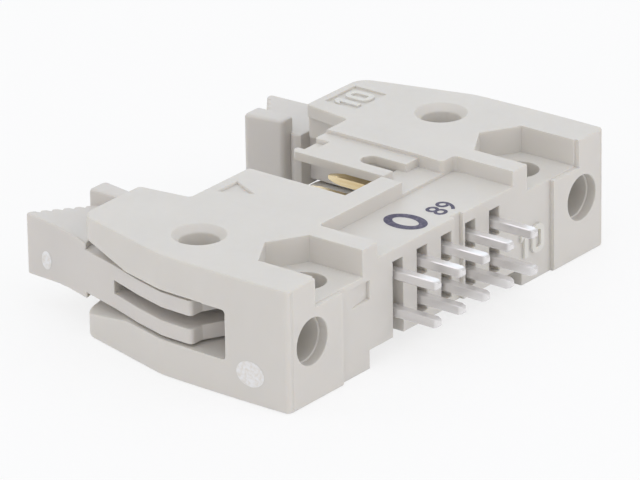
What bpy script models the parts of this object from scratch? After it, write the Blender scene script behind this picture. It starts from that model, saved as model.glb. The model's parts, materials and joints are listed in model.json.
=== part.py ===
"""Board header of a ribbon cable connector, lying on its broad side.

X runs along the rows of contacts, the solder tails point to -Y, the mating side and
the two locking levers to +Y, and Z is up. The origin is under the middle of the part.
"""

import math

import bmesh
import bpy
from mathutils import Matrix, Vector

MM = 0.001
GAP = 0.2                 # clearance between pieces that seat in one another

# Contacts
COLUMNS = 5
ROWS = 2
PITCH = 2.54
PIN = 0.64                # side of the square contact
PIN_EDGE = 0.06           # flat along each edge of a contact
TAIL_OUT = 2.96           # tail past the mounting pads
TAIL_TIP = 0.35
BLADE_UP = 5.95           # mating blade above the cavity floor
BLADE_TIP = 1.1
BLADE_END = 0.28          # side of the blunt end

# Housing
THICK = 8.2
CAVITY_HIGH = 6.5
END_SPACE = 3.82          # outer column to the cavity's end wall
FLOOR_Y = 7.6             # cavity floor above the mounting pads
RIM_Y = 14.4              # edge of the middle walls
EAR_Y = 18.15             # tips of the ears
EAR_OUT = 7.72            # ear past the cavity's end wall, at its widest
EAR_BASE_IN = 0.04        # how far the ear draws in at the mounting side
BULGE_Y = 3.5
KINK_Y = 10.2             # from here the ear leans inwards
KINK_CORNER = 4.0
EAR_TIP_OUT = 5.45        # ear past the end wall at its tip
LIP = 0.8                 # skin of the ear over the cavity, at the rim
LIP_TIP = 0.3
CORNER = 0.35
WALL_CORNER = 0.3         # corners of recesses and of the cavity
TIP_CORNER = 1.3          # outer corner of an ear's tip
EDGE = 0.15               # rounding along the broad sides

# Mounting side
PAD_STEP = 0.32           # pads stand out from the middle face
PAD_IN = 2.2              # inner edge of a pad past the end wall
PAD_NECK = 4.95           # inner edge of the pad beside the nut pocket
PAD_LOW = 0.1             # pad below the floor of the nut pocket
SCREW_OUT = 5.27          # board screw hole past the end wall
SCREW_BORE = 2.9
SCREW_RIM = 3.1           # wider mouth of that hole
SCREW_STEP = 0.68         # depth of the mouth
SCREW_LEAD = 0.05
WINDOW_WIDE = 1.04
WINDOW_HIGH = 1.9
WINDOW_DEEP = 1.3
CHANNEL_WIDE = 1.1        # channel that joins the first column's windows
CHANNEL_DEEP = 1.0
GROOVE_WIDE = 0.9
GROOVE_DEEP = 0.3
GROOVE_OFF = 0.05         # groove beside the middle of its pitch
PRINT_HALF = 7.08         # sunk panel on the upper side
PRINT_Y = 4.95
PRINT_DEEP = 1.04
UNDER_HALF = 8.0          # sunk panel on the underside
UNDER_DEEP = 1.2
GATE_IN = 0.96            # shallow moulding recess, from the end wall inwards
GATE_LONG = 2.2
GATE_DEEP = 0.27
GATE_LOW = 4.65
GATE_HIGH = 5.9

# Nut pockets with their upright holes
NUT_WIDE = 5.06
NUT_DEEP = 1.82
NUT_OUT = 2.27            # pocket's middle past the end wall
NUT_Y = 4.5               # where the pocket's flats end
NUT_BORE = 2.8
NUT_BORE_Y = 2.95

# Key side
KEY_WIDE = 4.4
KEY_Y = 6.63
KEY_LEAD = 0.3
SHELF_IN = 1.6            # shelf beside the key, from the middle line
SHELF_OUT = 5.9
SHELF_DEEP = 0.83
SHELF_START = 5.75        # its outer side beside the sunk panel
SHELF_Y = 6.95
LOW_WALL = 0.26           # the wall past the shelf lies lower by this
CODE_MID = 3.93
CODE_WIDE = 1.35
CODE_Y = 9.9
NICK_IN = 2.9
NICK_OUT = 4.8
NICK_Y = 1.1
NICK_DEEP = 0.35
MARK_X = 5.4              # sunk triangle beside the first contact
MARK_Y = 13.55
MARK_WIDE = 2.0
MARK_LONG = 2.1
MARK_DEEP = 0.2
FIELD_OUT = 2.5           # sunk field for the number of ways
FIELD_WIDE = 3.3
FIELD_LONG = 2.6
FIELD_EDGE = 0.65         # field to the tip of the ear
FIELD_DEEP = 0.15

# Slots of the levers
SLOT_HIGH = 3.34
SLOT_Y = 4.92
SLOT_CORNER = 0.25
FLARE_Y = 14.5            # from here the slot widens at the ear's outer side
FLARE_IN = 0.5            # the widening ends here, past the end wall at the tip
TIP_PLATE = 1.45          # thickness of the ear's plates at their outer tips
FOOT_ROOM = 1.22          # slot's inner end past the outer column

# Levers
PIVOT_OUT = 3.65          # pivot past the end wall
PIVOT_Y = 10.1
PIVOT_BORE = 2.6
BORE_LEAD = 0.45
BOSS_UP = 1.35
BOSS_LEAD = 0.3
PAD_HIGH = 4.15           # thumb end of the lever
HOOK_SIDE = 0.3           # hook to the cavity's upper and lower wall
LEVER_IN = 0.15           # lever's outer face behind the ear's
SHOULDER_GAP = 0.3
LEVER_Y = 24.25
THUMB_OUT = 3.7           # thumb end past the end wall
THUMB_DROP = 2.6          # fall of the ridged end towards the hook
TOP_LAND = 0.4            # flat at the outer corner of the ridged end
FIRST_LAND = 0.6          # from that flat to the first notch
TEETH = 5
TOOTH_PITCH = 0.735
TOOTH_DEEP = 0.2
TOOTH_RAMP = 0.25
HOOK_TIP_IN = 1.87        # hook's nose inside the end wall
HOOK_BACK_IN = 0.15
HOOK_LOW_Y = 19.3
HOOK_LONG = 2.95
HOOK_SLANT = 0.5          # the hook's inner end draws back towards the cavity
HOOK_EDGE = 0.22
THUMB_EDGE = 0.12
SHOULDER_OUT = 0.15       # the thumb's outer corner hangs over the ear's tip
SHOULDER_LOW = 0.2
THUMB_TAPER = 0.09        # share by which the thumb end thins down to the ear
NECK_BACK = 0.45          # inner side of the neck past the end wall
HEEL_Y = 7.75             # outer end of the lever's root
HEEL_STEP = 1.05          # step behind the heel
FOOT_IN = 1.1             # foot's toe inside the end wall
FOOT_TOP = 0.25           # foot below the cavity floor
FOOT_LOW = 0.4            # foot above the slot's end
FORK_WIDE = 0.88
FORK_Y = 15.25

ARC = math.radians(15)    # step along small curves
SHARP = math.radians(32)

LAST_COLUMN = PITCH * (COLUMNS - 1) / 2
END_WALL = LAST_COLUMN + END_SPACE
MID_Z = THICK / 2
CAVITY_TOP = MID_Z + CAVITY_HIGH / 2
CAVITY_LOW = MID_Z - CAVITY_HIGH / 2
PIVOT_X = END_WALL + PIVOT_OUT
SHIFT_Y = (TAIL_OUT - LEVER_Y) / 2
PAST = 1.0                # how far cutters run past a surface
LAP = 0.08                # how far a cutter runs into another cut

GREY = (0.62, 0.605, 0.57, 1.0)
TIN = (0.72, 0.72, 0.73, 1.0)
GOLD = (0.83, 0.62, 0.25, 1.0)


def material(name, colour, roughness, metallic):
    mat = bpy.data.materials.new(name)
    mat.use_nodes = True
    shader = mat.node_tree.nodes["Principled BSDF"]
    shader.inputs["Base Color"].default_value = colour
    shader.inputs["Roughness"].default_value = roughness
    shader.inputs["Metallic"].default_value = metallic
    return mat


def rounded(corners):
    """Fillet a closed outline of (x, y) or (x, y, radius) corners."""
    points = []
    count = len(corners)
    for i, corner in enumerate(corners):
        here = Vector(corner[:2])
        radius = corner[2] if len(corner) > 2 else 0.0
        before = Vector(corners[i - 1][:2]) - here
        after = Vector(corners[(i + 1) % count][:2]) - here
        turn = before.angle(after)
        if radius == 0.0 or turn > math.radians(179):
            points.append(here)
            continue
        reach = min(radius / math.tan(turn / 2), before.length * 0.49, after.length * 0.49)
        radius = reach * math.tan(turn / 2)
        middle = here + (before.normalized() + after.normalized()).normalized() * (
            radius / math.sin(turn / 2))
        start = here + before.normalized() * reach - middle
        sweep = math.pi - turn
        side = 1 if before.x * after.y - before.y * after.x < 0 else -1
        steps = max(2, math.ceil(sweep / ARC))
        for k in range(steps + 1):
            arm = Matrix.Rotation(side * sweep * k / steps, 2) @ start
            points.append(middle + arm)
    return points


def mirrored(points, side):
    """The same outline for the right (1) or the left (-1) end."""
    if side > 0:
        return [tuple(p) for p in points]
    return [(-p[0],) + tuple(p[1:]) for p in reversed(points)]


def new_object(name, bm, mat, at=(0, 0, 0)):
    bmesh.ops.remove_doubles(bm, verts=bm.verts, dist=1e-4)
    bmesh.ops.recalc_face_normals(bm, faces=bm.faces)
    offset = Vector((at[0], at[1] + SHIFT_Y, at[2]))
    for vert in bm.verts:
        vert.co = (vert.co - Vector(at)) * MM
    mesh = bpy.data.meshes.new(name)
    bm.to_mesh(mesh)
    bm.free()
    obj = bpy.data.objects.new(name, mesh)
    obj.location = offset * MM
    bpy.context.collection.objects.link(obj)
    if mat:
        mesh.materials.append(mat)
    return obj


def loft(sections):
    """Closed body through rings of points, capped at both ends."""
    bm = bmesh.new()
    rings = [[bm.verts.new(p) for p in ring] for ring in sections]
    for lower, upper in zip(rings, rings[1:]):
        for k in range(len(lower)):
            n = (k + 1) % len(lower)
            bm.faces.new((lower[k], lower[n], upper[n], upper[k]))
    bm.faces.new(rings[0])
    bm.faces.new(rings[-1])
    return bm


def prism(outline, low, high, axis="Z"):
    """Extrude a plan outline along Z, or a (y, z) outline along X."""
    if axis == "Z":
        return loft([[(x, y, h) for x, y in outline] for h in (low, high)])
    return loft([[(h, y, z) for y, z in outline] for h in (low, high)])


def inset(outline, depth):
    """Move a closed outline inwards by a constant depth."""
    points = [Vector(p) for p in outline]
    area = sum(points[k - 1].cross(p) for k, p in enumerate(points))
    turn = Matrix.Rotation(math.copysign(math.pi / 2, area), 2)
    moved = []
    for k, here in enumerate(points):
        before = turn @ (here - points[k - 1]).normalized()
        after = turn @ (points[(k + 1) % len(points)] - here).normalized()
        normal = (before + after).normalized()
        moved.append(here + normal * (depth / max(normal.dot(after), 0.5)))
    return moved


def soft_prism(outline, low, high, radius):
    """Upright prism whose lower and upper rims are rounded."""
    rims = [(radius * (1 - math.sin(a)), radius * (1 - math.cos(a)))
            for a in (0.0, math.pi / 4, math.pi / 2)]
    levels = [(depth, low + rise) for depth, rise in rims]
    levels += [(depth, high - rise) for depth, rise in reversed(rims)]
    return loft([[(x, y, z) for x, y in inset(outline, depth)] for depth, z in levels])


def box(x0, x1, y0, y1, z0, z1):
    return prism([(x0, y0), (x1, y0), (x1, y1), (x0, y1)], z0, z1)


def turned(profile, centre, axis="Z", steps=32):
    """Turn (radius, height) pairs about an upright or a Y axis."""
    sections = []
    for radius, height in profile:
        ring = []
        for k in range(steps):
            a = 2 * math.pi * k / steps
            u, v = radius * math.cos(a), radius * math.sin(a)
            if axis == "Z":
                ring.append((centre[0] + u, centre[1] + v, height))
            else:
                ring.append((centre[0] + u, height, centre[1] + v))
        sections.append(ring)
    return loft(sections)


def combine(target, name, bm, operation, at=(0, 0, 0)):
    """Join a tool body to the target, or cut it out, with a Boolean modifier."""
    tool = new_object(name, bm, None, at)
    tool.hide_render = True
    tool.hide_viewport = False
    tool.display_type = "WIRE"
    step = target.modifiers.new(name, "BOOLEAN")
    step.operation = operation
    step.object = tool
    step.solver = "EXACT"
    return tool


def cut(target, name, bm, at=(0, 0, 0)):
    return combine(target, "cutter_" + name, bm, "DIFFERENCE", at)


def ear_edge(y):
    """How far the outer face of an ear is from the middle line at a height y."""
    widest = END_WALL + EAR_OUT
    if y <= KINK_Y:
        return widest - EAR_BASE_IN * ((y - BULGE_Y) / BULGE_Y) ** 2
    start = ear_edge(KINK_Y)
    share = (y - KINK_Y) / (EAR_Y - KINK_Y)
    return start + (END_WALL + EAR_TIP_OUT - start) * share


def housing_outline():
    """Plan of the housing: two ears and the lower walls between them."""
    steps = 6
    bulge = [KINK_Y * k / steps for k in range(1, steps)]
    half = [(ear_edge(0.0), 0.0, CORNER)]
    half += [(ear_edge(y), y) for y in bulge]
    half += [
        (ear_edge(KINK_Y), KINK_Y, KINK_CORNER),
        (END_WALL + EAR_TIP_OUT, EAR_Y, TIP_CORNER),
        (END_WALL - LIP_TIP, EAR_Y, 2 * EDGE),
        (END_WALL - LIP, RIM_Y, 2 * EDGE),
    ]
    return rounded(half + mirrored(half, -1))


def cut_mounting_side(body):
    pad = END_WALL + PAD_IN
    cut(body, "middle_face", box(-pad, pad, -PAST, PAD_STEP, -PAST, THICK + PAST))
    neck = END_WALL + PAD_NECK
    cut(body, "pocket_face",
        box(-neck, neck, -PAST, PAD_STEP, THICK - NUT_DEEP - PAD_LOW, THICK + PAST))
    panel = [(-PRINT_HALF, -PAST), (PRINT_HALF, -PAST),
             (PRINT_HALF, PRINT_Y, WALL_CORNER), (-PRINT_HALF, PRINT_Y, WALL_CORNER)]
    cut(body, "print_panel", prism(rounded(panel), THICK - PRINT_DEEP, THICK + PAST))
    under = [(-UNDER_HALF, -PAST), (UNDER_HALF, -PAST),
             (UNDER_HALF, PRINT_Y, WALL_CORNER), (-UNDER_HALF, PRINT_Y, WALL_CORNER)]
    cut(body, "under_panel", prism(rounded(under), -PAST, UNDER_DEEP))
    groove = PITCH / 2 + GROOVE_OFF
    cut(body, "groove", box(groove - GROOVE_WIDE / 2, groove + GROOVE_WIDE / 2,
                            -PAST, PAD_STEP + GROOVE_DEEP, -PAST, THICK + PAST))
    gate = GATE_IN - END_WALL
    wedge = [(gate - GATE_LONG, PAD_STEP - PAST), (gate, PAD_STEP - PAST),
             (gate, PAD_STEP + GATE_DEEP), (gate - GATE_LONG, PAD_STEP)]
    cut(body, "gate", prism(wedge, GATE_LOW, GATE_HIGH))


def cut_end_features(body, side):
    """Holes, nut pocket and lever slot at one end of the housing."""
    tag = "right" if side > 0 else "left"
    pivot = (side * PIVOT_X, PIVOT_Y)
    rim = PIVOT_BORE / 2 + BORE_LEAD
    bore = [(rim + PAST, -PAST), (PIVOT_BORE / 2, BORE_LEAD),
            (PIVOT_BORE / 2, THICK - BORE_LEAD), (rim + PAST, THICK + PAST)]
    cut(body, "pivot_" + tag, turned(bore, pivot))

    mouth, narrow = SCREW_RIM / 2, SCREW_BORE / 2
    screw = [(mouth + SCREW_LEAD + PAST, -PAST), (mouth, SCREW_LEAD), (mouth, SCREW_STEP),
             (narrow + SCREW_LEAD, SCREW_STEP), (narrow, SCREW_STEP + SCREW_LEAD),
             (narrow, SLOT_Y + PAST)]
    cut(body, "screw_" + tag, turned(screw, (side * (END_WALL + SCREW_OUT), MID_Z), "Y"))

    middle = END_WALL + NUT_OUT
    flat = NUT_WIDE / 2
    nut = [(middle - flat, -PAST), (middle + flat, -PAST), (middle + flat, NUT_Y),
           (middle, NUT_Y + flat * math.tan(math.radians(30))), (middle - flat, NUT_Y)]
    cut(body, "nut_" + tag, prism(mirrored(nut, side), THICK - NUT_DEEP, THICK + PAST))
    hole = [(NUT_BORE / 2, -PAST), (NUT_BORE / 2, THICK)]
    cut(body, "nut_bore_" + tag, turned(hole, (side * middle, NUT_BORE_Y)))

    low = MID_Z - SLOT_HIGH / 2
    inner, outer = END_WALL + FLARE_IN, END_WALL + EAR_TIP_OUT
    past_ear = END_WALL + EAR_OUT + PAST
    ends = sorted((side * (LAST_COLUMN + FOOT_ROOM), side * past_ear))
    slot = [(SLOT_Y, low, SLOT_CORNER), (EAR_Y + PAST, low), (EAR_Y + PAST, THICK - low),
            (SLOT_Y, THICK - low, SLOT_CORNER)]
    cut(body, "slot_" + tag, prism(rounded(slot), ends[0], ends[1], "X"))
    rise = (low - TIP_PLATE) / (EAR_Y - FLARE_Y)
    lean = (EAR_Y - FLARE_Y) / (outer - inner)
    stations = []
    for x in (inner - PAST * 0.9 / lean, past_ear):
        start = FLARE_Y + (outer - x) * lean
        spread = (EAR_Y + PAST - start) * rise
        stations.append([(side * x, start, low), (side * x, EAR_Y + PAST, low - spread),
                         (side * x, EAR_Y + PAST, THICK - low + spread),
                         (side * x, start, THICK - low)])
    cut(body, "flare_" + tag, loft(stations))


def cut_cavity(body):
    cavity = [(-END_WALL, FLOOR_Y, WALL_CORNER), (END_WALL, FLOOR_Y, WALL_CORNER),
              (END_WALL, EAR_Y + PAST), (-END_WALL, EAR_Y + PAST)]
    cut(body, "cavity", prism(rounded(cavity), CAVITY_LOW, CAVITY_TOP))


def cut_key_side(body):
    key = KEY_WIDE / 2
    notch = [(-key, KEY_Y), (key, KEY_Y), (key, RIM_Y - KEY_LEAD),
             (key + KEY_LEAD + PAST, RIM_Y + PAST), (-key - KEY_LEAD - PAST, RIM_Y + PAST),
             (-key, RIM_Y - KEY_LEAD)]
    cut(body, "key", prism(rounded(notch), CAVITY_TOP - LAP, THICK + PAST))
    cut(body, "low_wall", box(SHELF_IN, SHELF_OUT, SHELF_Y - LAP, RIM_Y + PAST,
                              THICK - LOW_WALL, THICK + PAST))
    edge = SHELF_START + 2.5 * WALL_CORNER
    shelf = [(SHELF_IN, PRINT_Y - PAST), (edge, PRINT_Y - PAST), (edge, PRINT_Y),
             (SHELF_START, PRINT_Y, WALL_CORNER),
             (SHELF_OUT, SHELF_Y), (SHELF_IN, SHELF_Y)]
    cut(body, "shelf", prism(rounded(shelf), THICK - SHELF_DEEP, THICK + PAST))
    half = CODE_WIDE / 2
    code = [(CODE_MID - half, SHELF_Y - LAP), (CODE_MID + half, SHELF_Y - LAP),
            (CODE_MID + half, CODE_Y, half * 0.98), (CODE_MID - half, CODE_Y, half * 0.98)]
    cut(body, "code_slot", prism(rounded(code), THICK - SHELF_DEEP, THICK + PAST))
    through = [(x, max(y, FLOOR_Y + LAP)) for x, y in rounded(code)]
    cut(body, "code_slot_through", prism(through, CAVITY_TOP - LAP, THICK + PAST))
    cut(body, "rim_nick", box(NICK_IN, NICK_OUT, RIM_Y - NICK_Y, RIM_Y + PAST,
                              THICK - LOW_WALL - NICK_DEEP, THICK + PAST))


def cut_marks(body):
    mark = [(-MARK_X - MARK_WIDE / 2, MARK_Y), (-MARK_X, MARK_Y - MARK_LONG),
            (-MARK_X + MARK_WIDE / 2, MARK_Y)]
    cut(body, "first_way", prism(mark, THICK - MARK_DEEP, THICK + PAST))
    middle = END_WALL + FIELD_OUT
    top = EAR_Y - FIELD_EDGE
    cut(body, "field", box(middle - FIELD_WIDE / 2, middle + FIELD_WIDE / 2,
                           top - FIELD_LONG, top, THICK - FIELD_DEEP, THICK + PAST))


def contact_places():
    for column in range(COLUMNS):
        for row in range(ROWS):
            x = (column - (COLUMNS - 1) / 2) * PITCH
            z = MID_Z + (row - (ROWS - 1) / 2) * PITCH
            yield column, row, x, z


def cut_contact_holes(body):
    hole = PIN / 2 + GAP
    wide, high = WINDOW_WIDE / 2, WINDOW_HIGH / 2
    deep = PAD_STEP + WINDOW_DEEP
    for column, row, x, z in contact_places():
        tag = "%d_%d" % (column, row)
        cut(body, "hole_" + tag, box(x - hole, x + hole, 0.0, FLOOR_Y + PAST,
                                     z - hole, z + hole))
        cut(body, "window_" + tag, box(x - wide, x + wide, -PAST, deep,
                                       z - high, z + high))
    left, right = -LAST_COLUMN - CHANNEL_WIDE / 2, -LAST_COLUMN + CHANNEL_WIDE / 2
    cut(body, "first_channel", box(left, right, -PAST, PAD_STEP + CHANNEL_DEEP,
                                   -PAST, MID_Z + PITCH / 2))


def housing(mat):
    body = new_object("housing", soft_prism(housing_outline(), 0.0, THICK, EDGE), mat)
    cut_cavity(body)
    for side in (-1, 1):
        cut_end_features(body, side)
    cut_mounting_side(body)
    cut_key_side(body)
    cut_marks(body)
    cut_contact_holes(body)
    return body


def square_ring(x, z, y, side, edge):
    """Section of a contact: a square with its four edges taken off."""
    h, e = side / 2, side / 2 - edge
    flat = [(h, -e), (h, e), (e, h), (-e, h), (-h, e), (-h, -e), (-e, -h), (e, -h)]
    return [(x + u, y, z + v) for u, v in flat]


def contact(name, x, z, tail_mat, blade_mat):
    top = FLOOR_Y + BLADE_UP
    stations = [(-TAIL_OUT, PIN * 0.45), (-TAIL_OUT + TAIL_TIP * 0.3, PIN * 0.78),
                (-TAIL_OUT + TAIL_TIP, PIN), (PAD_STEP + WINDOW_DEEP, PIN),
                (FLOOR_Y, PIN), (top - BLADE_TIP, PIN),
                (top - BLADE_TIP * 0.45, (PIN + BLADE_END) * 0.55), (top, BLADE_END)]
    sections = [square_ring(x, z, y, side, PIN_EDGE * side / PIN) for y, side in stations]
    obj = new_object(name, loft(sections), tail_mat, (x, 0, z))
    obj.data.materials.append(blade_mat)
    plated = (PAD_STEP + WINDOW_DEEP + SHIFT_Y + 0.1) * MM
    for face in obj.data.polygons:
        if face.center.y + obj.location.y > plated:
            face.material_index = 1
    return obj


def ridged_end():
    """Saw-toothed thumb face, from the outer corner down towards the hook."""
    corner = Vector((END_WALL + THUMB_OUT - TOP_LAND, LEVER_Y))
    end = Vector((END_WALL - HOOK_BACK_IN, LEVER_Y - THUMB_DROP))
    along = (end - corner).normalized()
    out = Vector((along.y, -along.x))
    points = [(corner.x + TOP_LAND, corner.y, TOP_LAND), tuple(corner)]
    for tooth in range(TEETH):
        foot = corner + along * (FIRST_LAND + tooth * TOOTH_PITCH)
        points.append(tuple(foot - along * TOOTH_RAMP))
        points.append(tuple(foot - out * TOOTH_DEEP))
        points.append(tuple(foot + along * TOOTH_RAMP / 2))
    return points


def thumb_edge(y):
    """Outer face of the lever above the ear."""
    foot = END_WALL + EAR_TIP_OUT - 0.5
    share = (y - EAR_Y) / (LEVER_Y - EAR_Y)
    return foot + (END_WALL + THUMB_OUT - foot) * math.sin(share * math.pi / 2)


def lever_outlines():
    """Plan outlines of the neck with its foot, the thumb end and the hook."""
    shoulder = EAR_Y + SHOULDER_GAP
    back = END_WALL + NECK_BACK
    toe = END_WALL - FOOT_IN
    foot_top = FLOOR_Y - FOOT_TOP
    foot_low = SLOT_Y + FOOT_LOW
    heel = ear_edge(HEEL_Y) - LEVER_IN
    outer = [(ear_edge(y) - LEVER_IN, y) for y in (HEEL_Y + 1.2, KINK_Y, KINK_Y + 2.4)]
    upper = [(thumb_edge(y), y) for y in (shoulder, shoulder + 1.6, shoulder + 3.2)]
    corner = (upper[0][0] + SHOULDER_OUT, shoulder - SHOULDER_LOW)
    neck = [(toe, foot_low + 0.4, 0.3), (toe + 0.5, foot_low, 0.3),
            (PIVOT_X - 1.2, foot_low + 0.1, 1.0),
            (heel - HEEL_STEP, HEEL_Y - 0.05, 0.3), (heel, HEEL_Y, 0.3)] + outer + [
            (ear_edge(FORK_Y) - LEVER_IN - 0.2, FORK_Y, 3.0), corner, upper[1],
            (back, shoulder + 1.5), (back, foot_top + 1.2, 0.6), (toe, foot_top, 0.5)]
    hook_top = HOOK_LOW_Y + HOOK_LONG
    hook_back = END_WALL - HOOK_BACK_IN
    nose = END_WALL - HOOK_TIP_IN
    thumb = [(corner[0] - 0.75, shoulder, 0.3), corner + (0.1,), upper[1], upper[2]
             ] + ridged_end() + [
        (hook_back - 0.4, LEVER_Y - THUMB_DROP - 0.3), (hook_back - 0.4, HOOK_LOW_Y + 0.3),
        (hook_back - 0.05, HOOK_LOW_Y + 0.3), (END_WALL - LIP, shoulder + 0.6, 0.6),
        (END_WALL - LIP + 0.3, shoulder)]
    hook = [(nose + HOOK_SLANT, HOOK_LOW_Y, 0.35), (hook_back, HOOK_LOW_Y, 0.25),
            (hook_back, hook_top, 0.25), (nose, hook_top, 0.35)]
    return neck, thumb, hook


def lever(name, side, mat):
    at = (side * PIVOT_X, PIVOT_Y, MID_Z)
    neck, thumb, hook = [mirrored(rounded(o), side) for o in lever_outlines()]
    thick = SLOT_HIGH / 2 - GAP
    body = new_object(name, prism(neck, MID_Z - thick, MID_Z + thick), mat, at)
    high = PAD_HIGH / 2
    block = soft_prism(thumb, MID_Z - high, MID_Z + high, THUMB_EDGE)
    for vert in block.verts:
        down = (LEVER_Y - vert.co.y) / (LEVER_Y - EAR_Y)
        vert.co.z = MID_Z + (vert.co.z - MID_Z) * (1 - THUMB_TAPER * down)
    combine(body, name + "_thumb", block, "UNION", at)
    high = CAVITY_HIGH / 2 - HOOK_SIDE
    block = soft_prism(hook, MID_Z - high, MID_Z + high, HOOK_EDGE)
    combine(body, name + "_hook", block, "UNION", at)
    radius = PIVOT_BORE / 2 - GAP
    tall = thick + BOSS_UP
    boss = [(radius - BOSS_LEAD, -tall), (radius, BOSS_LEAD - tall),
            (radius, tall - BOSS_LEAD), (radius - BOSS_LEAD, tall)]
    boss = [(r, MID_Z + h) for r, h in boss]
    combine(body, name + "_boss", turned(boss, at[:2]), "UNION", at)
    ends = sorted((0.0, side * (END_WALL + EAR_OUT + PAST)))
    fork = [(0.0, MID_Z - FORK_WIDE / 2), (FORK_Y, MID_Z - FORK_WIDE / 2),
            (FORK_Y, MID_Z + FORK_WIDE / 2), (0.0, MID_Z + FORK_WIDE / 2)]
    cut(body, name + "_fork", prism(fork, ends[0], ends[1], "X"), at)
    return body


def finish(body):
    """Apply the Booleans, drop their tools and shade the round faces smooth."""
    tools = [step.object for step in body.modifiers]
    done = body.evaluated_get(bpy.context.evaluated_depsgraph_get())
    mesh = bpy.data.meshes.new_from_object(done)
    body.modifiers.clear()
    body.data = mesh
    mesh.name = body.name
    for tool in tools:
        bpy.data.objects.remove(tool, do_unlink=True)
    mesh.shade_smooth()
    mesh.set_sharp_from_angle(angle=SHARP)


def build():
    for obj in list(bpy.data.objects):
        bpy.data.objects.remove(obj, do_unlink=True)
    grey = material("grey_moulding", GREY, 0.5, 0.0)
    lever_grey = material("grey_lever", GREY, 0.45, 0.0)
    tin = material("tinned_tail", TIN, 0.25, 1.0)
    gold = material("gold_blade", GOLD, 0.25, 1.0)
    pieces = [housing(grey), lever("left_lever", -1, lever_grey),
              lever("right_lever", 1, lever_grey)]
    for column, row, x, z in contact_places():
        pieces.append(contact("contact_%d" % (column * ROWS + row + 1), x, z, tin, gold))
    bpy.context.view_layer.update()
    for piece in pieces:
        finish(piece)


build()
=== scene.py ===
"""Looks of the board header with two locking levers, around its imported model.

The rows of contacts run along X, the levers stand towards +Y, the solder tails
towards -Y, and the header lies on the floor at Z = 0.
"""

import json
import math

import bmesh
import bpy
from mathutils import Matrix, Vector

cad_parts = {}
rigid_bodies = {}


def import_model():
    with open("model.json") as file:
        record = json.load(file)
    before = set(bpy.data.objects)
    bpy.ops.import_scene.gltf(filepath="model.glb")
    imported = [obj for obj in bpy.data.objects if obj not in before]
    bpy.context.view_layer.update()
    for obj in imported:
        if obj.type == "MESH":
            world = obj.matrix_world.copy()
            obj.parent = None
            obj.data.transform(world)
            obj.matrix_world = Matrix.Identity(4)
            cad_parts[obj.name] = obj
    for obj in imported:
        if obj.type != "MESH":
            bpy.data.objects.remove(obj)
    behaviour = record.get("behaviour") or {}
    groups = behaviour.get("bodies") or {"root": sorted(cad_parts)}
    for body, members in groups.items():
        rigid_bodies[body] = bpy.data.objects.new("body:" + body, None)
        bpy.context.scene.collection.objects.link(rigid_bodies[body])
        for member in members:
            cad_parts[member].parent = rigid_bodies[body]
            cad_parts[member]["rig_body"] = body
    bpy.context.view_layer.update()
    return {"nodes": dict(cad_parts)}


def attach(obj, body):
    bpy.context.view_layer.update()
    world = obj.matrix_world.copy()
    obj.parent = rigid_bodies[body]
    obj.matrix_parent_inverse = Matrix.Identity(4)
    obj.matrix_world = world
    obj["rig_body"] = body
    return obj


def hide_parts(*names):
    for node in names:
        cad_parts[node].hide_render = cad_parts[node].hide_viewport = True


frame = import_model()

MM = 0.001

# Places on the header, in millimetres
PADS_Y = -10.645                      # end pads of the mounting side
MIDDLE_FACE_Y = PADS_Y + 0.32         # mounting side between the pads
BROAD_SIDE_Z = 8.2
SUNK_PANEL_Z = BROAD_SIDE_Z - 1.04
EAR_FIELD_Z = BROAD_SIDE_Z - 0.15
FLOOR_OF_CAVITY_Y = PADS_Y + 7.6
GOLD_FROM_Y = FLOOR_OF_CAVITY_Y - 3.0  # the plating changes inside the cavity's floor
UP = (0, 0, 1)
TO_TAILS = (0, -1, 0)

# Eased edges, in millimetres
HOUSING_EDGE = 0.08
LEVER_EDGE = 0.06
HOUSING_SHORTEST = 0.17               # beside a shorter edge, an edge keeps its corner
LEVER_SHORTEST = 0.06
MERGED = 0.002                        # corners this close are one
NO_LENGTH = 0.0005                    # edges this short are closed up

# Lines and marks on the mouldings, in millimetres
CORNER_LINE_X = (16.06, 16.36)        # shallow line on the pads beside both corners
CORNER_LINE_RIM = 0.06
CORNER_LINE_DEEP = 0.05
WIDEST_X = 16.619                     # the ends' crowns reach past this
CROWN_SHARE = 0.9998                  # crowns are set back, so that the marks show
END_MARK = (2.15, 1.7)
END_MARK_CENTRE = (16.6195, PADS_Y + 3.0, 2.0)
THUMB_MARK = (0.85, 1.25)
THUMB_MARK_CENTRE = (12.786, PADS_Y + 22.46, 3.43)
THUMB_LEAN = 0.104                    # outer face of a thumb end leans back by this
MARK_ROOT = -0.03
MARK_RIM = 0.08
THUMB_MARK_PROUD = 0.012

# Raised numerals, in millimetres
ONE_HIGH = 1.9
ONE_STROKE = 0.38
ONE_FLAG = 0.4
NOUGHT = (1.28, 1.92)
NOUGHT_STROKE = 0.36
NOUGHT_CORNER = 0.5
NOUGHT_STEP = 1.3                     # from the one's middle to the nought's
NUMERAL_ROOT = -0.05
NUMERAL_DRAFT = 0.05
NUMERALS = (("ear", (10.55, 5.55, EAR_FIELD_Z), UP, 0.14),
            ("mounting_side", (8.25, MIDDLE_FACE_Y, 2.83), TO_TAILS, 0.2))

# Print on the sunk panel, in millimetres
PRINTED_HIGH = 1.54
PRINTED_BOLD = 0.02
PRINTED_THICK = 0.02
PRINTED_CENTRE = (1.58, PADS_Y + 1.8, SUNK_PANEL_Z)
RING = (2.28, 3.05)
RING_STROKE = 0.56
RING_ROOT = -0.02
RING_PROUD = 0.008
RING_RIM = 0.01
RING_CENTRE = (-1.5, PADS_Y + 2.4, SUNK_PANEL_Z)
CAPITAL_SHARE = 0.73                  # height of a numeral as a share of the font's size

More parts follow.
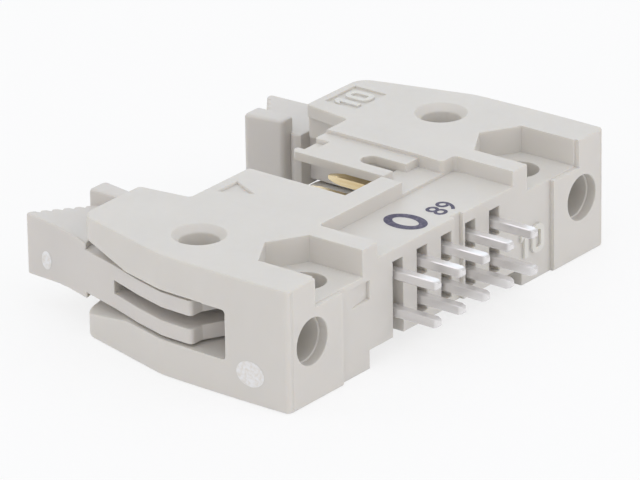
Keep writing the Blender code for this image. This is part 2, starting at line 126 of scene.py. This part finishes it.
# Camera, fitted to the photograph
VIEW_AZIMUTH = math.radians(-51.89)
VIEW_HEIGHT = math.radians(22.89)
VIEW_ROLL = math.radians(-0.91)
VIEW_AIM = Vector((-3.33, -2.84, 5.20)) * MM
VIEW_DISTANCE = 394.75 * MM
LENS = 351.8
SENSOR = 36.0

# Turns between neighbouring faces
SOFT_TURN = math.radians(38)          # sharper edges are shaded as edges
CREASE_TURN = math.radians(40)        # the same, on the small added pieces
OUTER_TURN = math.radians(30)         # outer edges sharper than this are eased
FLAT_TURN = math.radians(0.1)         # faces this close to one plane count as one

# Colours, linear
MOULDING_GREY = (0.690, 0.666, 0.622, 1.0)
LEVER_GREY = (0.668, 0.641, 0.604, 1.0)
# raised numerals: the housing's own plastic painted lighter, a painted highlight
NUMERAL_HIGHLIGHT_GREY = (0.750, 0.730, 0.675, 1.0)
SCUFF_GREY = (0.84, 0.84, 0.84, 1.0)
BRIGHT_TIN = (0.83, 0.815, 0.81, 1.0)
DULL_TIN = (0.78, 0.765, 0.76, 1.0)
GOLD_PLATE = (0.78, 0.60, 0.32, 1.0)
PALE_GOLD = (0.85, 0.72, 0.47, 1.0)
INK = (0.062, 0.055, 0.105, 1.0)
INK_THIN = (0.16, 0.145, 0.21, 1.0)
FLOOR_WHITE = (0.93, 0.93, 0.93, 1.0)
PURE_WHITE = (1.0, 1.0, 1.0, 1.0)

# Scale of the patterns in the materials
FLOW_CLOUDS = 210.0
SHEEN_PATCHES = 1700.0
MOULD_WAVES = 900.0
MOULD_GRAIN = 11000.0
DRAWN_STREAKS = 500.0
THIN_INK = 5200.0
WHITE_PATCHES = 4200.0
ROUGH_PATCHES = 5200.0
PLASTIC_IOR = 1.48

# Light: each lamp's place and size in metres, power in watts and colour
COOL_LAMP = (0.74, 0.855, 1.0)
SOFT_LAMP = (0.94, 0.90, 1.0)
LAMPS = (("overhead", (-0.05, -0.05, 0.60), 0.66, 0.5, COOL_LAMP),
         ("above_the_levers", (-0.235, 0.34, 0.435), 0.15, 0.2, SOFT_LAMP),
         ("behind", (0.45, 0.35, 0.26), 0.33, 0.35, COOL_LAMP),
         ("front_right", (0.15, -0.50, 0.25), 0.56, 0.4, SOFT_LAMP),
         ("front_left", (-0.50, -0.10, 0.25), 0.45, 0.4, SOFT_LAMP))
LAMPS_AIM = Vector((0, 0, 4 * MM))
ROOM_COLOUR = (1.0, 0.99, 0.97, 1.0)
ROOM_LIGHT = 0.67
FLOOR_GLOW = 0.75                     # share of plain white that the camera sees
FLOOR_RADIUS = 3.0
FLOOR_Z = -0.02 * MM


# Node materials

class Finish:
    """A node material with a Principled shader, built step by step."""

    def __init__(self, name):
        self.material = bpy.data.materials.new(name)
        self.material.use_nodes = True
        self.nodes = self.material.node_tree.nodes
        self.links = self.material.node_tree.links
        self.shader = self.nodes["Principled BSDF"]
        self.place = self.nodes.new("ShaderNodeTexCoord").outputs["Object"]

    def link(self, source, target):
        self.links.new(source, target)

    def set(self, **values):
        for socket, value in values.items():
            self.shader.inputs[socket.replace("_", " ")].default_value = value

    def stretched(self, scale):
        mapping = self.nodes.new("ShaderNodeMapping")
        mapping.inputs["Scale"].default_value = scale
        self.link(self.place, mapping.inputs["Vector"])
        return mapping.outputs["Vector"]

    def noise(self, scale, detail=2.0, place=None):
        node = self.nodes.new("ShaderNodeTexNoise")
        node.inputs["Scale"].default_value = scale
        node.inputs["Detail"].default_value = detail
        self.link(place or self.place, node.inputs["Vector"])
        return node.outputs["Fac"]

    def spread(self, source, low, high, start=0.3, end=0.7):
        """Map a noise value onto the range from low to high."""
        node = self.nodes.new("ShaderNodeMapRange")
        node.inputs["From Min"].default_value = start
        node.inputs["From Max"].default_value = end
        node.inputs["To Min"].default_value = low
        node.inputs["To Max"].default_value = high
        self.link(source, node.inputs["Value"])
        return node.outputs["Result"]

    def mix(self, share, first, second):
        """Blend two colours, or two colour outputs, by a share."""
        node = self.nodes.new("ShaderNodeMix")
        node.data_type = "RGBA"
        self.link(share, node.inputs["Factor"])
        for socket, colour in ((node.inputs["A"], first), (node.inputs["B"], second)):
            if isinstance(colour, tuple):
                socket.default_value = colour
            else:
                self.link(colour, socket)
        return node.outputs["Result"]

    def bump(self, height, strength, depth, before=None):
        node = self.nodes.new("ShaderNodeBump")
        node.inputs["Strength"].default_value = strength
        node.inputs["Distance"].default_value = depth
        self.link(height, node.inputs["Height"])
        if before:
            self.link(before, node.inputs["Normal"])
        return node.outputs["Normal"]


def shaded(colour, share):
    """The same colour, lighter or darker."""
    return tuple(c * share for c in colour[:3]) + (1.0,)


def moulded_plastic(name, colour):
    """Satin, slightly grained thermoplastic with faint flow clouds."""
    finish = Finish(name)
    clouds = finish.spread(finish.noise(FLOW_CLOUDS, 3.0), 0.0, 1.0)
    tone = finish.mix(clouds, shaded(colour, 0.975), shaded(colour, 1.015))
    finish.link(tone, finish.shader.inputs["Base Color"])
    sheen = finish.spread(finish.noise(SHEEN_PATCHES, 2.0), 0.40, 0.52)
    finish.link(sheen, finish.shader.inputs["Roughness"])
    grain = finish.noise(MOULD_GRAIN, 2.0)
    waves = finish.noise(MOULD_WAVES, 1.0)
    fine = finish.bump(grain, 0.10, 0.004 * MM)
    finish.link(finish.bump(waves, 0.12, 0.012 * MM, fine), finish.shader.inputs["Normal"])
    finish.set(IOR=PLASTIC_IOR, Subsurface_Weight=0.3, Subsurface_Scale=0.6 * MM)
    finish.shader.inputs["Subsurface Radius"].default_value = (1.0, 0.85, 0.6)
    return finish.material


def plated_contact(name):
    """Tin on the solder tail, gold on the mating blade, with drawn streaks."""
    finish = Finish(name)
    along = finish.nodes.new("ShaderNodeSeparateXYZ")
    finish.link(finish.place, along.inputs["Vector"])
    gold = finish.spread(along.outputs["Y"], 0.0, 1.0,
                         GOLD_FROM_Y * MM, (GOLD_FROM_Y + 0.5) * MM)
    streaks = finish.noise(DRAWN_STREAKS, 2.0, finish.stretched((7.0, 0.3, 7.0)))
    dull = finish.spread(streaks, 0.0, 1.0)
    tin = finish.mix(dull, BRIGHT_TIN, DULL_TIN)
    plate = finish.mix(dull, PALE_GOLD, GOLD_PLATE)
    finish.link(finish.mix(gold, tin, plate), finish.shader.inputs["Base Color"])
    finish.link(finish.spread(streaks, 0.20, 0.25), finish.shader.inputs["Roughness"])
    finish.link(finish.bump(streaks, 0.010, 0.004 * MM), finish.shader.inputs["Normal"])
    finish.link(finish.spread(gold, 0.55, 0.85, 0.0, 1.0), finish.shader.inputs["Metallic"])
    return finish.material


def stamped_ink(name):
    """Dark ink, thin and broken where the stamp bore lightly."""
    finish = Finish(name)
    thin = finish.spread(finish.noise(THIN_INK, 3.0), 0.0, 1.0, 0.45, 0.75)
    finish.link(finish.mix(thin, INK, INK_THIN), finish.shader.inputs["Base Color"])
    finish.set(Roughness=0.55)
    return finish.material


def scuffed_plastic(name):
    """Whitened plastic where a mould pin pressed."""
    finish = Finish(name)
    patch = finish.spread(finish.noise(WHITE_PATCHES, 4.0), 0.0, 1.0, 0.35, 0.6)
    tone = finish.mix(patch, shaded(MOULDING_GREY, 1.09), SCUFF_GREY)
    finish.link(tone, finish.shader.inputs["Base Color"])
    rough = finish.bump(finish.noise(ROUGH_PATCHES, 3.0), 0.4, 0.015 * MM)
    finish.link(rough, finish.shader.inputs["Normal"])
    finish.set(Roughness=0.6)
    return finish.material


# Meshes

def finished(name, bm, material, body):
    """Turn a bmesh in metres into a piece that rides on a body."""
    bmesh.ops.recalc_face_normals(bm, faces=bm.faces)
    mesh = bpy.data.meshes.new(name)
    bm.to_mesh(mesh)
    bm.free()
    mesh.materials.append(material)
    mesh.shade_smooth()
    mesh.set_sharp_from_angle(angle=CREASE_TURN)
    piece = bpy.data.objects.new(name, mesh)
    bpy.context.scene.collection.objects.link(piece)
    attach(piece, body)


def digits(text, height, stroke, thickness):
    """Numerals as a flat body in the XY plane, centred, in millimetres."""
    curve = bpy.data.curves.new("numerals", "FONT")
    curve.body = text
    curve.align_x = "CENTER"
    curve.align_y = "CENTER"
    curve.size = height / CAPITAL_SHARE
    curve.offset = stroke
    curve.extrude = thickness / 2
    curve.resolution_u = 5
    carrier = bpy.data.objects.new("numerals", curve)
    bpy.context.scene.collection.objects.link(carrier)
    bpy.context.view_layer.update()
    mesh = bpy.data.meshes.new_from_object(carrier)
    bm = bmesh.new()
    bm.from_mesh(mesh)
    bmesh.ops.remove_doubles(bm, verts=bm.verts, dist=MERGED)
    bpy.data.objects.remove(carrier)
    bpy.data.meshes.remove(mesh)
    bpy.data.curves.remove(curve)
    return bm


def placed(bm, centre, outward):
    """Lay a body of the XY plane on a face that looks outward, and bring it to metres."""
    turn = Matrix.Identity(4)
    if outward != UP:
        turn = Vector(outward).to_track_quat("Z", "Y").to_matrix().to_4x4()
    bmesh.ops.transform(bm, matrix=Matrix.Scale(MM, 4) @ Matrix.Translation(centre) @ turn,
                        verts=bm.verts)
    return bm


def raised(bm, low, high, draft):
    """Thicken a flat shape between two heights, its upper rim drawn in for the mould."""
    bmesh.ops.translate(bm, verts=bm.verts, vec=(0, 0, low))
    walls = bmesh.ops.extrude_face_region(bm, geom=bm.faces[:], use_keep_orig=True)
    upper = [item for item in walls["geom"] if isinstance(item, bmesh.types.BMFace)]
    rim = {vert for face in upper for vert in face.verts}
    bmesh.ops.translate(bm, verts=list(rim), vec=(0, 0, high - low))
    bmesh.ops.inset_region(bm, faces=upper, thickness=draft, depth=0.0, use_even_offset=True)
    return bm


def flat_rectangle(width, height):
    bm = bmesh.new()
    bmesh.ops.create_grid(bm, x_segments=1, y_segments=1, size=0.5)
    bmesh.ops.scale(bm, verts=bm.verts, vec=(width, height, 1))
    return bm


def open_middle(bm, stroke):
    """Leave only a band of even width along the outline of a flat shape."""
    bmesh.ops.inset_region(bm, faces=bm.faces[:], thickness=stroke, use_even_offset=True,
                           use_boundary=True)
    middle = min(bm.faces, key=lambda face: face.calc_center_median().length)
    bmesh.ops.delete(bm, geom=[middle], context="FACES")
    return bm


def figure_nought(width, height, stroke, corner):
    """Upright band with rounded corners."""
    bm = flat_rectangle(width, height)
    bmesh.ops.bevel(bm, geom=bm.verts[:], offset=corner, offset_type="OFFSET", segments=5,
                    profile=0.5, affect="VERTICES", material=-1)
    return open_middle(bm, stroke)


def figure_one(height, stroke, flag):
    """Upright bar with a slanted flag at its upper left."""
    bm = flat_rectangle(stroke, height)
    cut = height / 2 - flag
    bmesh.ops.bisect_plane(bm, geom=bm.verts[:] + bm.edges[:] + bm.faces[:],
                           plane_co=(0, cut, 0), plane_no=(0, 1, 0))
    side = [edge for edge in bm.edges
            if all(v.co.x < 0 and v.co.y > cut - 0.01 for v in edge.verts)]
    drawn = bmesh.ops.extrude_edge_only(bm, edges=side)
    tip = [item for item in drawn["geom"] if isinstance(item, bmesh.types.BMVert)]
    bmesh.ops.translate(bm, verts=tip, vec=(-flag * 0.8, -flag * 0.8, 0))
    return bm


def flat_ring(width, height, stroke):
    bm = bmesh.new()
    bmesh.ops.create_circle(bm, cap_ends=True, segments=48, radius=0.5)
    bmesh.ops.scale(bm, verts=bm.verts, vec=(width, height, 1))
    return open_middle(bm, stroke)


def flat_disc(width, height):
    bm = bmesh.new()
    bmesh.ops.create_circle(bm, cap_ends=True, segments=40, radius=0.5)
    bmesh.ops.scale(bm, verts=bm.verts, vec=(width, height, 1))
    return bm


def even_shading(mesh):
    """Normals that hold still across large faces and turn along narrow ones."""
    mesh.shade_smooth()
    around = [[] for vertex in mesh.vertices]
    for face in mesh.polygons:
        for vertex in face.vertices:
            around[vertex].append(face)
    normals = []
    for face in mesh.polygons:
        for vertex in face.vertices:
            blend = Vector()
            for other in around[vertex]:
                if face.normal.angle(other.normal, math.pi) < SOFT_TURN:
                    blend += other.normal * (other.area / MM ** 2) ** 2
            normals.append(blend.normalized())
    mesh.normals_split_custom_set(normals)


def pad_faces(bm):
    """Flat faces of the two end pads."""
    return [face for face in bm.faces if face.normal.y < -0.99
            and abs(face.calc_center_median().y - PADS_Y * MM) < 0.01 * MM]


def corner_lines(bm):
    """Sink a shallow line into each pad beside its outer corner."""
    near, far = (x * MM for x in CORNER_LINE_X)
    for x in (-far, -near, near, far):
        faces = pad_faces(bm)
        edges = list({edge for face in faces for edge in face.edges})
        verts = list({vert for face in faces for vert in face.verts})
        bmesh.ops.bisect_plane(bm, geom=verts + edges + faces, plane_co=(x, 0, 0),
                               plane_no=(1, 0, 0))
    strips = [face for face in pad_faces(bm)
              if near < abs(face.calc_center_median().x) < far]
    bmesh.ops.inset_region(bm, faces=strips, thickness=CORNER_LINE_RIM * MM,
                           depth=-CORNER_LINE_DEEP * MM, use_boundary=True,
                           use_even_offset=True)


def merged_copy(name):
    """A copy of a node's shape with its shared corners joined."""
    bm = bmesh.new()
    bm.from_mesh(frame["nodes"][name].data)
    bmesh.ops.remove_doubles(bm, verts=bm.verts, dist=MERGED * MM)
    return bm


def stands_for(name, kind, bm, material):
    """Put a changed copy in place of its node, evenly shaded."""
    mesh = bpy.data.meshes.new(name + kind)
    bm.to_mesh(mesh)
    bm.free()
    mesh.materials.append(material)
    even_shading(mesh)
    piece = bpy.data.objects.new(mesh.name, mesh)
    bpy.context.scene.collection.objects.link(piece)
    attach(piece, frame["nodes"][name]["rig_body"])
    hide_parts(name)


def eased(name, material, cut, shortest):
    """Ease the outer edges of a moulding.

    Edges that end beside a very short one keep their corner."""
    bm = merged_copy(name)
    bmesh.ops.triangulate(bm, faces=bm.faces[:])
    bm.normal_update()
    flat = [e for e in bm.edges if e.calc_face_angle(math.pi) < FLAT_TURN]
    bmesh.ops.beautify_fill(bm, faces=bm.faces[:], edges=flat, method="AREA")
    bm.normal_update()
    roomy = {v for v in bm.verts if all(e.calc_length() > shortest * MM for e in v.link_edges)}
    sharp = [e for e in bm.edges if e.is_convex and roomy.issuperset(e.verts)
             and e.calc_face_angle(0) > OUTER_TURN]
    bmesh.ops.bevel(bm, geom=sharp, offset=cut * MM, offset_type="OFFSET", segments=2,
                    profile=0.5, affect="EDGES", material=-1)
    bmesh.ops.dissolve_degenerate(bm, dist=NO_LENGTH * MM, edges=bm.edges[:])
    corner_lines(bm)
    crowns = [vert for vert in bm.verts if abs(vert.co.x) > WIDEST_X * MM]
    bmesh.ops.scale(bm, verts=crowns, vec=(CROWN_SHARE, 1, 1))
    stands_for(name, "_moulding", bm, material)


def mouldings():
    """The housing and both levers, with eased edges."""
    grey = moulded_plastic("satin_grey_housing", MOULDING_GREY)
    lever_grey = moulded_plastic("satin_grey_lever", LEVER_GREY)
    eased("housing", grey, HOUSING_EDGE, HOUSING_SHORTEST)
    for side in ("left", "right"):
        eased(side + "_lever", lever_grey, LEVER_EDGE, LEVER_SHORTEST)


def contacts():
    """The pins keep their shape, and are shaded evenly."""
    plated = plated_contact("plated_contact")
    for name in [name for name in frame["nodes"] if name.startswith("contact")]:
        stands_for(name, "_pin", merged_copy(name), plated)


def add_numerals():
    """Raised number of ways on the ear and on the mounting side, in the housing's plastic
    painted lighter as a painted highlight.
    """
    grey = moulded_plastic("pale_grey_numerals", NUMERAL_HIGHLIGHT_GREY)
    for place, (x, y, z), outward, proud in NUMERALS:
        one = figure_one(ONE_HIGH, ONE_STROKE, ONE_FLAG)
        one = raised(one, NUMERAL_ROOT, proud, NUMERAL_DRAFT)
        finished("one_on_" + place, placed(one, (x, y, z), outward), grey,
                 "header")
        nought = figure_nought(*NOUGHT, NOUGHT_STROKE, NOUGHT_CORNER)
        nought = raised(nought, NUMERAL_ROOT, proud, NUMERAL_DRAFT)
        finished("nought_on_" + place, placed(nought, (x + NOUGHT_STEP, y, z), outward), grey,
                 "header")


def add_print():
    """Inked numerals and a plain ring on the sunk panel."""
    ink = stamped_ink("stamped_ink")
    number = digits("89", PRINTED_HIGH, PRINTED_BOLD, PRINTED_THICK)
    finished("printed_number", placed(number, PRINTED_CENTRE, UP), ink,
             "header")
    ring = raised(flat_ring(*RING, RING_STROKE), RING_ROOT, RING_PROUD, RING_RIM)
    finished("printed_ring", placed(ring, RING_CENTRE, UP), ink,
             "header")


def add_mould_marks():
    """Whitened round marks on both ends and on both thumb faces."""
    pale = scuffed_plastic("whitened_plastic")
    for side, tag in ((-1, "left"), (1, "right")):
        x, y, z = END_MARK_CENTRE
        disc = raised(flat_disc(*END_MARK), MARK_ROOT, 0.0, MARK_RIM)
        disc = placed(disc, (side * x, y, z), (side, 0, 0))
        finished("mould_mark_" + tag, disc, pale, "header")
        x, y, z = THUMB_MARK_CENTRE
        outward = Vector((1.0, THUMB_LEAN, 0.0)).normalized()
        oval = raised(flat_disc(*THUMB_MARK), MARK_ROOT, THUMB_MARK_PROUD, MARK_RIM)
        oval = placed(oval, (side * x, y, z), (side * outward.x, outward.y, 0))
        finished("thumb_mark_" + tag, oval, pale, tag + "_latch")


# Stage

def studio_floor():
    """Pale floor that the camera sees nearly white, with the header's soft shadow."""
    bpy.ops.mesh.primitive_circle_add(vertices=96, radius=FLOOR_RADIUS, fill_type="NGON",
                                      location=(0, 0, FLOOR_Z))
    floor = bpy.context.object
    floor.name = "floor"
    material = bpy.data.materials.new("pale_floor")
    material.use_nodes = True
    nodes, links = material.node_tree.nodes, material.node_tree.links
    shader = nodes["Principled BSDF"]
    shader.inputs["Base Color"].default_value = FLOOR_WHITE
    shader.inputs["Roughness"].default_value = 0.9
    glow = nodes.new("ShaderNodeEmission")
    rays = nodes.new("ShaderNodeLightPath")
    seen = nodes.new("ShaderNodeMath")
    seen.operation = "MAXIMUM"
    links.new(rays.outputs["Is Camera Ray"], seen.inputs[0])
    links.new(rays.outputs["Is Glossy Ray"], seen.inputs[1])
    share = nodes.new("ShaderNodeMath")
    share.operation = "MULTIPLY"
    share.inputs[1].default_value = FLOOR_GLOW
    links.new(seen.outputs[0], share.inputs[0])
    blend = nodes.new("ShaderNodeMixShader")
    links.new(share.outputs[0], blend.inputs["Fac"])
    links.new(shader.outputs[0], blend.inputs[1])
    links.new(glow.outputs[0], blend.inputs[2])
    links.new(blend.outputs[0], nodes["Material Output"].inputs["Surface"])
    floor.data.materials.append(material)


def room_light():
    """Even light from all around, which the camera sees as white."""
    world = bpy.data.worlds.new("studio")
    bpy.context.scene.world = world
    world.use_nodes = True
    nodes, links = world.node_tree.nodes, world.node_tree.links
    rays = nodes.new("ShaderNodeLightPath")
    white = nodes.new("ShaderNodeBackground")
    white.inputs["Color"].default_value = PURE_WHITE
    white.inputs["Strength"].default_value = 1.0
    room = nodes["Background"]
    room.inputs["Color"].default_value = ROOM_COLOUR
    room.inputs["Strength"].default_value = ROOM_LIGHT
    blend = nodes.new("ShaderNodeMixShader")
    links.new(rays.outputs["Is Camera Ray"], blend.inputs["Fac"])
    links.new(room.outputs[0], blend.inputs[1])
    links.new(white.outputs[0], blend.inputs[2])
    links.new(blend.outputs[0], nodes["World Output"].inputs["Surface"])


def softbox(name, place, power, size, colour):
    """Square lamp that faces the middle of the header."""
    light = bpy.data.lights.new(name, "AREA")
    light.color = colour
    light.energy = power
    light.size = size
    lamp = bpy.data.objects.new(name, light)
    bpy.context.scene.collection.objects.link(lamp)
    lamp.location = place
    aim = LAMPS_AIM - Vector(place)
    lamp.rotation_euler = aim.to_track_quat("-Z", "Y").to_euler()


def camera():
    """Long lens at the photograph's angle."""
    data = bpy.data.cameras.new("camera")
    data.lens = LENS
    data.sensor_width = SENSOR
    data.clip_start = 10 * MM
    data.clip_end = 10.0
    view = bpy.data.objects.new("camera", data)
    bpy.context.scene.collection.objects.link(view)
    turn = (Matrix.Rotation(VIEW_AZIMUTH, 4, "Z")
            @ Matrix.Rotation(math.pi / 2 - VIEW_HEIGHT, 4, "X")
            @ Matrix.Rotation(VIEW_ROLL, 4, "Z"))
    back = turn @ Vector((0, 0, 1))
    view.matrix_world = Matrix.Translation(VIEW_AIM + back * VIEW_DISTANCE) @ turn
    bpy.context.scene.camera = view


def stage():
    studio_floor()
    room_light()
    for lamp in LAMPS:
        softbox(*lamp)
    camera()
    bpy.context.scene.view_settings.view_transform = "Standard"


mouldings()
contacts()
add_numerals()
add_print()
add_mould_marks()
stage()
